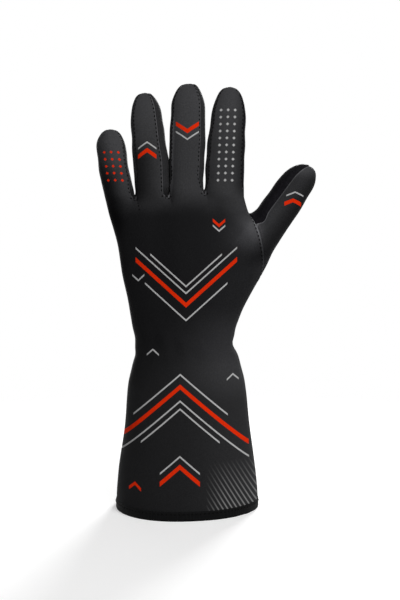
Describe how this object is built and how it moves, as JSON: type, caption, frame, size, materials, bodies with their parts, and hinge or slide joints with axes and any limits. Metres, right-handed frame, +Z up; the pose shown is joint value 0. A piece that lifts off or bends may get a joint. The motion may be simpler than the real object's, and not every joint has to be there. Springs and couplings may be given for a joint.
{
  "type": "long-cuffed protective glove",
  "caption": "Left-hand protective glove with a flared long cuff, sewn back, palm and fourchette panels, full lining and bound hem, with bending wrist, fingers and thumb.",
  "frame": {"origin": "centre of the cuff opening, in the plane of the hem that the glove stands on", "axes": "+X across the hand toward the thumb, +Z up from the hem to the fingertips, -Y out of the back of the hand, +Y out of the palm"},
  "size_m": [0.161, 0.079, 0.3165],
  "materials": {
    "dark_cloth": "woven cloth, printed",
    "finger_cloth": "woven cloth, printed",
    "palm_leather": "suede",
    "binding_tape": "ribbed tape",
    "elastic": "ribbed elastic",
    "lining": "brushed knit"
  },
  "bodies": {
    "cuff": {"cuff_back": "dark_cloth", "cuff_palm": "dark_cloth", "cuff_lining": "lining", "hem_binding": "binding_tape", "wrist_back": "dark_cloth", "wrist_palm": "dark_cloth", "wrist_elastic": "elastic"},
    "hand": {"hand_back": "dark_cloth", "hand_palm": "palm_leather", "hand_lining": "lining", "web_ring_little": "finger_cloth", "web_middle_ring": "finger_cloth", "web_index_middle": "finger_cloth"},
    "little_lower": {"little_lower_back": "finger_cloth", "little_lower_palm": "palm_leather", "little_lower_fourchette": "finger_cloth", "little_lower_lining": "lining"},
    "little_upper": {"little_upper_back": "finger_cloth", "little_upper_palm": "palm_leather", "little_upper_fourchette": "finger_cloth", "little_upper_lining": "lining"},
    "ring_lower": {"ring_lower_back": "finger_cloth", "ring_lower_palm": "palm_leather", "ring_lower_fourchettes": "finger_cloth", "ring_lower_lining": "lining"},
    "ring_upper": {"ring_upper_back": "finger_cloth", "ring_upper_palm": "palm_leather", "ring_upper_fourchettes": "finger_cloth", "ring_upper_lining": "lining"},
    "middle_lower": {"middle_lower_back": "finger_cloth", "middle_lower_palm": "palm_leather", "middle_lower_fourchettes": "finger_cloth", "middle_lower_lining": "lining"},
    "middle_upper": {"middle_upper_back": "finger_cloth", "middle_upper_palm": "palm_leather", "middle_upper_fourchettes": "finger_cloth", "middle_upper_lining": "lining"},
    "index_lower": {"index_lower_back": "finger_cloth", "index_lower_palm": "palm_leather", "index_lower_fourchette": "finger_cloth", "index_lower_lining": "lining"},
    "index_upper": {"index_upper_back": "finger_cloth", "index_upper_palm": "palm_leather", "index_upper_fourchette": "finger_cloth", "index_upper_lining": "lining"},
    "thumb_lower": {"thumb_lower_back": "finger_cloth", "thumb_lower_palm": "palm_leather", "thumb_lower_lining": "lining"},
    "thumb_upper": {"thumb_upper_back": "finger_cloth", "thumb_upper_palm": "palm_leather", "thumb_upper_lining": "lining"}
  },
  "joints": [
    {"name": "wrist_flex", "type": "hinge", "parent": "cuff", "child": "hand", "pos_m": [-0.002, 0, 0.12], "axis": [-1, 0, 0], "range_deg": [-40, 45], "stiffness_Nm_per_rad": 0.4, "deforming": ["wrist_back", "wrist_palm", "wrist_elastic"]},
    {"name": "little_knuckle", "type": "hinge", "parent": "hand", "child": "little_lower", "pos_m": [-0.0502, 0.0118, 0.2312], "axis": [-1, 0, 0], "range_deg": [0, 80], "stiffness_Nm_per_rad": 0.02},
    {"name": "little_bend", "type": "hinge", "parent": "little_lower", "child": "little_upper", "pos_m": [-0.05356, 0.01065, 0.25512], "axis": [-1, 0, 0], "range_deg": [0, 90], "stiffness_Nm_per_rad": 0.01},
    {"name": "ring_knuckle", "type": "hinge", "parent": "hand", "child": "ring_lower", "pos_m": [-0.02605, 0.0118, 0.2312], "axis": [-1, 0, 0], "range_deg": [0, 80], "stiffness_Nm_per_rad": 0.02},
    {"name": "ring_bend", "type": "hinge", "parent": "ring_lower", "child": "ring_upper", "pos_m": [-0.02829, 0.01065, 0.26685], "axis": [-1, 0, 0], "range_deg": [0, 90], "stiffness_Nm_per_rad": 0.01},
    {"name": "middle_knuckle", "type": "hinge", "parent": "hand", "child": "middle_lower", "pos_m": [0.0001, 0.0118, 0.2312], "axis": [-1, 0, 0], "range_deg": [0, 80], "stiffness_Nm_per_rad": 0.02},
    {"name": "middle_bend", "type": "hinge", "parent": "middle_lower", "child": "middle_upper", "pos_m": [0.00065, 0.01065, 0.27053], "axis": [-1, 0, 0], "range_deg": [0, 90], "stiffness_Nm_per_rad": 0.01},
    {"name": "index_knuckle", "type": "hinge", "parent": "hand", "child": "index_lower", "pos_m": [0.0284, 0.0118, 0.2312], "axis": [-1, 0, 0], "range_deg": [0, 80], "stiffness_Nm_per_rad": 0.02},
    {"name": "index_bend", "type": "hinge", "parent": "index_lower", "child": "index_upper", "pos_m": [0.03013, 0.01065, 0.26938], "axis": [-1, 0, 0], "range_deg": [0, 90], "stiffness_Nm_per_rad": 0.01},
    {"name": "thumb_opposition", "type": "hinge", "parent": "hand", "child": "thumb_lower", "pos_m": [0.04995, 0.0153, 0.19302], "axis": [-0.0896, 0, 0.996], "range_deg": [0, 45], "stiffness_Nm_per_rad": 0.03},
    {"name": "thumb_bend", "type": "hinge", "parent": "thumb_lower", "child": "thumb_upper", "pos_m": [0.05642, 0, 0.23153], "axis": [0, -1, 0], "range_deg": [0, 45], "stiffness_Nm_per_rad": 0.01}
  ]
}
